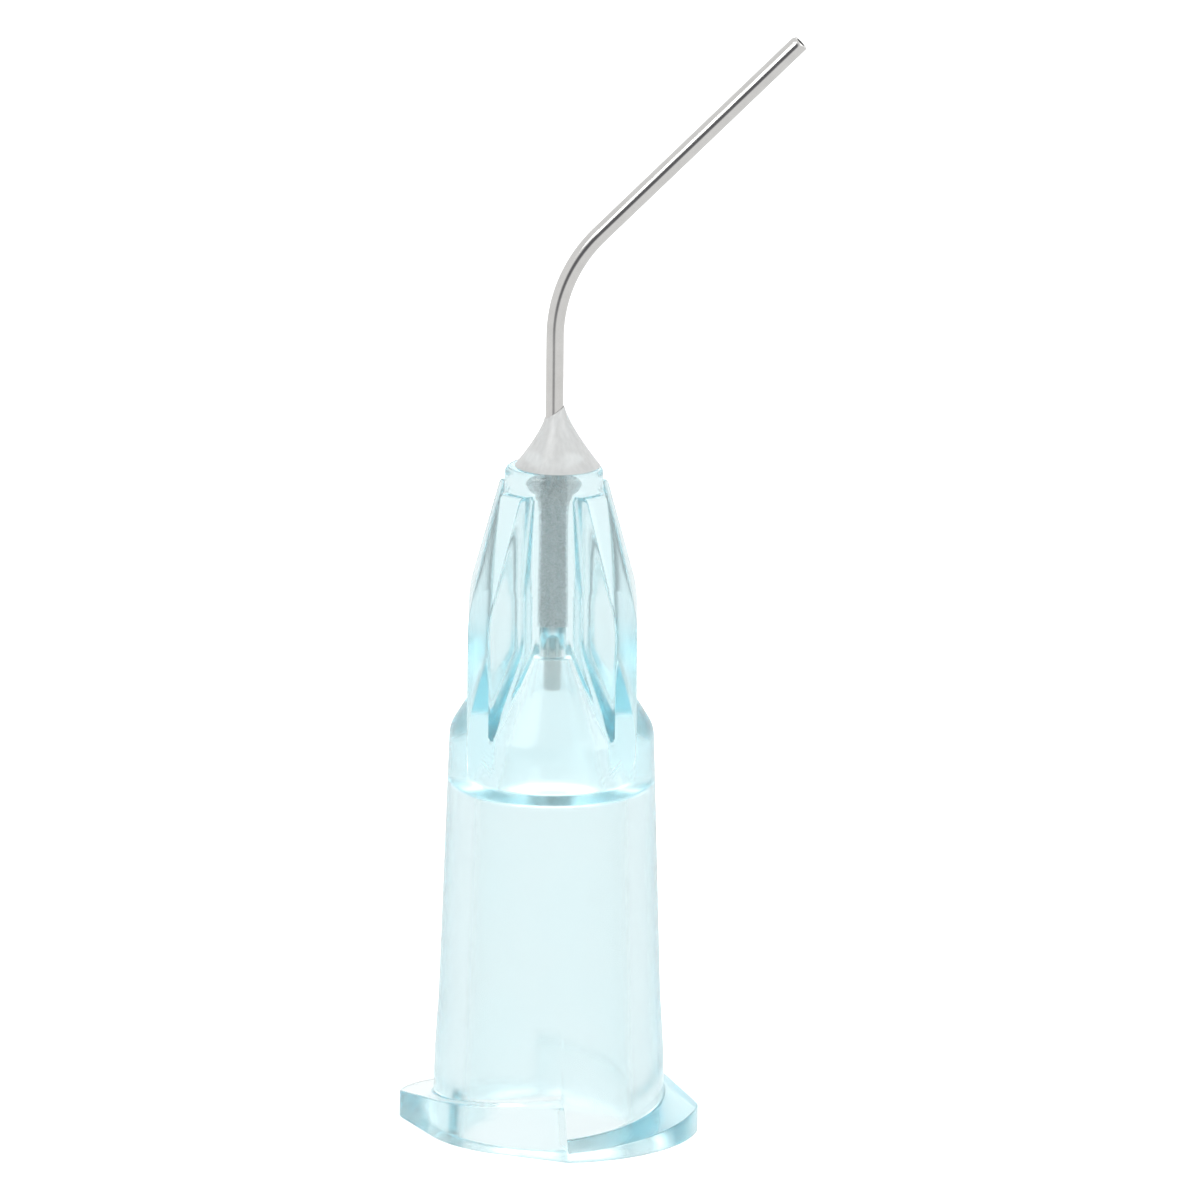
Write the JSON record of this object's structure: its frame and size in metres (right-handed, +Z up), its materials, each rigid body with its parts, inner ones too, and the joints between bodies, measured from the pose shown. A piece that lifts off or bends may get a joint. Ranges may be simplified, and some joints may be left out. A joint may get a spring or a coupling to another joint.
{
  "type": "dispensing needle tip",
  "caption": "Luer-lock dispensing tip: a translucent moulded hub with lock lugs and grip fins, and a thin steel cannula bent to 45 degrees, held by epoxy.",
  "frame": {"origin": "centre of the socket's mouth, on the flat underside of the flange", "axes": "+Z up the hub's axis, towards the cannula; +X is the way the cannula bends"},
  "size_m": [0.0103, 0.0078, 0.0288],
  "materials": {
    "polypropylene": "translucent, smooth moulded",
    "stainless": "drawn and polished",
    "epoxy": "milky clear"
  },
  "bodies": {
    "root": {"hub": "polypropylene", "cannula": "stainless", "epoxy": "epoxy"}
  },
  "joints": []
}
